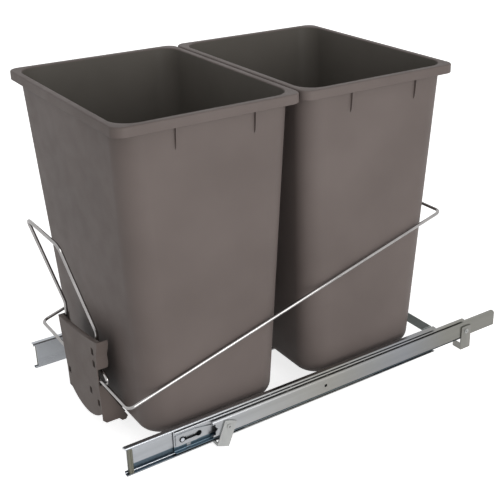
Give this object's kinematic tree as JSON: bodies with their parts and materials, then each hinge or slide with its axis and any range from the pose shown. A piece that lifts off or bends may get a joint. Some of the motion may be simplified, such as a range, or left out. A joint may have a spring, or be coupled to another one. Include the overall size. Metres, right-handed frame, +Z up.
{
  "type": "pull out bin frame",
  "caption": "Undercounter pull-out frame of chromed wire on ball-bearing slides, with tall lift-out plastic bins, a wire handle and swivelling feet.",
  "frame": {"origin": "centre of the footprint on the cabinet floor, with the carriage pulled out 130 mm as pictured", "axes": "X across the unit, with +X on the right of someone facing the handle; +Y into the cabinet; +Z up"},
  "size_m": [0.3568, 0.6984, 0.492],
  "materials": {
    "bin_plastic": "fine-grained taupe grey moulding",
    "bracket_plastic": "fine-grained taupe grey moulding",
    "bumper_plastic": "dark moulded plastic",
    "chrome_wire": "bright chrome plate",
    "crossbar_steel": "dull zinc plate",
    "rivet_steel": "bright zinc plate",
    "zinc_steel": "bright bluish zinc plate",
    "cage_steel": "plain rolled strip",
    "ball_steel": "ground and polished",
    "foot_steel": "satin plate"
  },
  "bodies": {
    "cabinet": {"cabinet_rail_left": "zinc_steel", "cabinet_rail_right": "zinc_steel", "foot_rivets_left": "rivet_steel", "foot_rivets_right": "rivet_steel"},
    "carriage": {"carriage_rail_left": "zinc_steel", "carriage_rail_right": "zinc_steel", "end_bumper_left": "bumper_plastic", "end_bumper_right": "bumper_plastic", "front_crossbar": "crossbar_steel", "rear_crossbar": "crossbar_steel", "crossbar_rivets": "rivet_steel", "base_wire_left": "chrome_wire", "base_wire_right": "chrome_wire", "hoop_wire": "chrome_wire", "handle_wire": "chrome_wire", "front_bracket": "bracket_plastic"},
    "front_bin": {"front_bin": "bin_plastic"},
    "rear_bin": {"rear_bin": "bin_plastic"},
    "middle_right": {"middle_rail_right": "zinc_steel", "latch_pin_right": "rivet_steel"},
    "latch_right": {"latch_lever_right": "zinc_steel"},
    "outer_cage_right": {"outer_ball_cage_right": "cage_steel", "outer_balls_right": "ball_steel"},
    "inner_cage_right": {"inner_ball_cage_right": "cage_steel", "inner_balls_right": "ball_steel"},
    "front_foot_right": {"front_foot_right": "foot_steel"},
    "rear_foot_right": {"rear_foot_right": "foot_steel"},
    "middle_left": {"middle_rail_left": "zinc_steel", "latch_pin_left": "rivet_steel"},
    "latch_left": {"latch_lever_left": "zinc_steel"},
    "outer_cage_left": {"outer_ball_cage_left": "cage_steel", "outer_balls_left": "ball_steel"},
    "inner_cage_left": {"inner_ball_cage_left": "cage_steel", "inner_balls_left": "ball_steel"},
    "front_foot_left": {"front_foot_left": "foot_steel"},
    "rear_foot_left": {"rear_foot_left": "foot_steel"}
  },
  "joints": [
    {"name": "carriage_slide", "type": "slide", "parent": "cabinet", "child": "carriage", "axis": [0, -1, 0], "range_m": [-0.118, 0.42]},
    {"name": "middle_right_slide", "type": "slide", "parent": "cabinet", "child": "middle_right", "axis": [0, -1, 0], "range_m": [-0.0595, 0.2105]},
    {"name": "outer_cage_right_slide", "type": "slide", "parent": "cabinet", "child": "outer_cage_right", "axis": [0, -1, 0], "range_m": [-0.089, 0.3155]},
    {"name": "inner_cage_right_slide", "type": "slide", "parent": "cabinet", "child": "inner_cage_right", "axis": [0, -1, 0], "range_m": [-0.03, 0.1055]},
    {"name": "middle_left_slide", "type": "slide", "parent": "cabinet", "child": "middle_left", "axis": [0, -1, 0], "range_m": [-0.0595, 0.2105]},
    {"name": "outer_cage_left_slide", "type": "slide", "parent": "cabinet", "child": "outer_cage_left", "axis": [0, -1, 0], "range_m": [-0.089, 0.3155]},
    {"name": "inner_cage_left_slide", "type": "slide", "parent": "cabinet", "child": "inner_cage_left", "axis": [0, -1, 0], "range_m": [-0.03, 0.1055]},
    {"name": "latch_right_rock", "type": "hinge", "parent": "middle_right", "child": "latch_right", "pos_m": [0.167, -0.24525, 0.0345], "axis": [1, 0, 0], "range_deg": [-4, 4]},
    {"name": "front_foot_right_swivel", "type": "hinge", "parent": "cabinet", "child": "front_foot_right", "pos_m": [0.17645, -0.17575, 0.0325], "axis": [1, 0, 0], "range_deg": [0, 60]},
    {"name": "rear_foot_right_swivel", "type": "hinge", "parent": "cabinet", "child": "rear_foot_right", "pos_m": [0.17645, 0.28325, 0.0325], "axis": [1, 0, 0], "range_deg": [0, 40]},
    {"name": "latch_left_rock", "type": "hinge", "parent": "middle_left", "child": "latch_left", "pos_m": [-0.167, -0.24525, 0.0345], "axis": [1, 0, 0], "range_deg": [-4, 4]},
    {"name": "front_foot_left_swivel", "type": "hinge", "parent": "cabinet", "child": "front_foot_left", "pos_m": [-0.17645, -0.17575, 0.0325], "axis": [1, 0, 0], "range_deg": [0, 60]},
    {"name": "rear_foot_left_swivel", "type": "hinge", "parent": "cabinet", "child": "rear_foot_left", "pos_m": [-0.17645, 0.28325, 0.0325], "axis": [1, 0, 0], "range_deg": [0, 40]},
    {"name": "front_bin_lift", "type": "slide", "parent": "carriage", "child": "front_bin", "axis": [0, 0, 1], "range_m": [0, 0.45]},
    {"name": "rear_bin_lift", "type": "slide", "parent": "carriage", "child": "rear_bin", "axis": [0, 0, 1], "range_m": [0, 0.45]}
  ],
  "couplings": [
    {"joint": "middle_right_slide", "follows": "carriage_slide", "ratio": 0.5},
    {"joint": "outer_cage_right_slide", "follows": "carriage_slide", "ratio": 0.75},
    {"joint": "inner_cage_right_slide", "follows": "carriage_slide", "ratio": 0.25},
    {"joint": "middle_left_slide", "follows": "carriage_slide", "ratio": 0.5},
    {"joint": "outer_cage_left_slide", "follows": "carriage_slide", "ratio": 0.75},
    {"joint": "inner_cage_left_slide", "follows": "carriage_slide", "ratio": 0.25}
  ]
}
